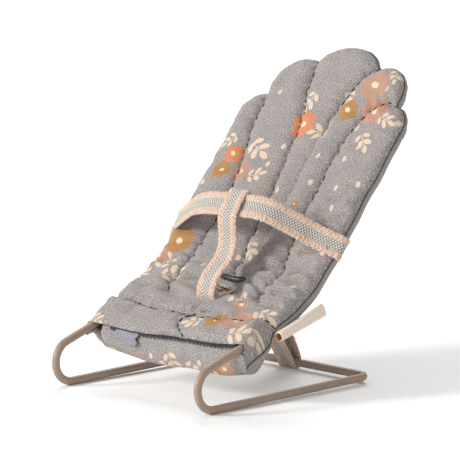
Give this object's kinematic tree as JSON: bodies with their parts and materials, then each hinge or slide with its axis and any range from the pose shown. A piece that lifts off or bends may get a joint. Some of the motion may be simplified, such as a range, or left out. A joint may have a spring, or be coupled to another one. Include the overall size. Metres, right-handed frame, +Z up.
{
  "type": "doll bouncer seat",
  "caption": "Doll-size bouncer seat: one bent wire frame with a quilted, scallop-topped fabric cover, waist belt and crotch strap.",
  "frame": {"origin": "on the floor, at the centre of the floor frame", "axes": "+Z up, the front of the seat faces -Y, +X to the right of someone looking at +Y"},
  "size_m": [0.0947, 0.1351, 0.1278],
  "materials": {
    "wire": "satin taupe powder coat",
    "printed_cloth": "heathered grey cotton with a small flower print",
    "wadding": "soft fibre filling",
    "lining": "plain thin cotton",
    "webbing": "cream and grey woven webbing with peach edges",
    "thread": "charcoal cotton thread",
    "hook_and_loop": "lilac-grey hook-and-loop strip",
    "label": "cream woven tape, left blank"
  },
  "bodies": {
    "base": {"floor_frame": "wire", "rear_strap": "webbing"},
    "seat": {"seat_frame": "wire", "front_panel": "printed_cloth", "back_panel": "printed_cloth", "wadding": "wadding", "lining": "lining", "crotch_strap": "webbing", "edge_seam_thread": "thread", "cross_thread": "thread", "front_thread": "thread", "hem_thread": "thread", "slot_thread": "thread", "quilt_thread_left": "thread", "quilt_thread_centre_left": "thread", "quilt_thread_centre_right": "thread", "quilt_thread_right": "thread", "belt_bartack_left": "thread", "belt_bartack_right": "thread", "crotch_bartack": "thread", "rear_bartack": "thread", "loop_strip": "hook_and_loop", "label_tab": "label"},
    "flap": {"closure_flap": "printed_cloth", "hook_strip": "hook_and_loop"},
    "belt": {"waist_belt": "webbing"}
  },
  "joints": [
    {"name": "bounce", "type": "hinge", "parent": "base", "child": "seat", "pos_m": [0, -0.03885, 0.0099], "axis": [-1, 0, 0], "range_deg": [0, 8], "stiffness_Nm_per_rad": 0.4, "springref_deg": -17.19, "deforming": ["rear_strap"]},
    {"name": "closure_peel", "type": "hinge", "parent": "seat", "child": "flap", "pos_m": [0, -0.01284, 0.02466], "axis": [1, 0, 0], "range_deg": [0, 40]},
    {"name": "belt_swing", "type": "hinge", "parent": "seat", "child": "belt", "pos_m": [0, 0.02625, 0.05654], "axis": [1, 0, 0], "range_deg": [-15, 15], "stiffness_Nm_per_rad": 0.004, "deforming": ["crotch_strap"]}
  ]
}
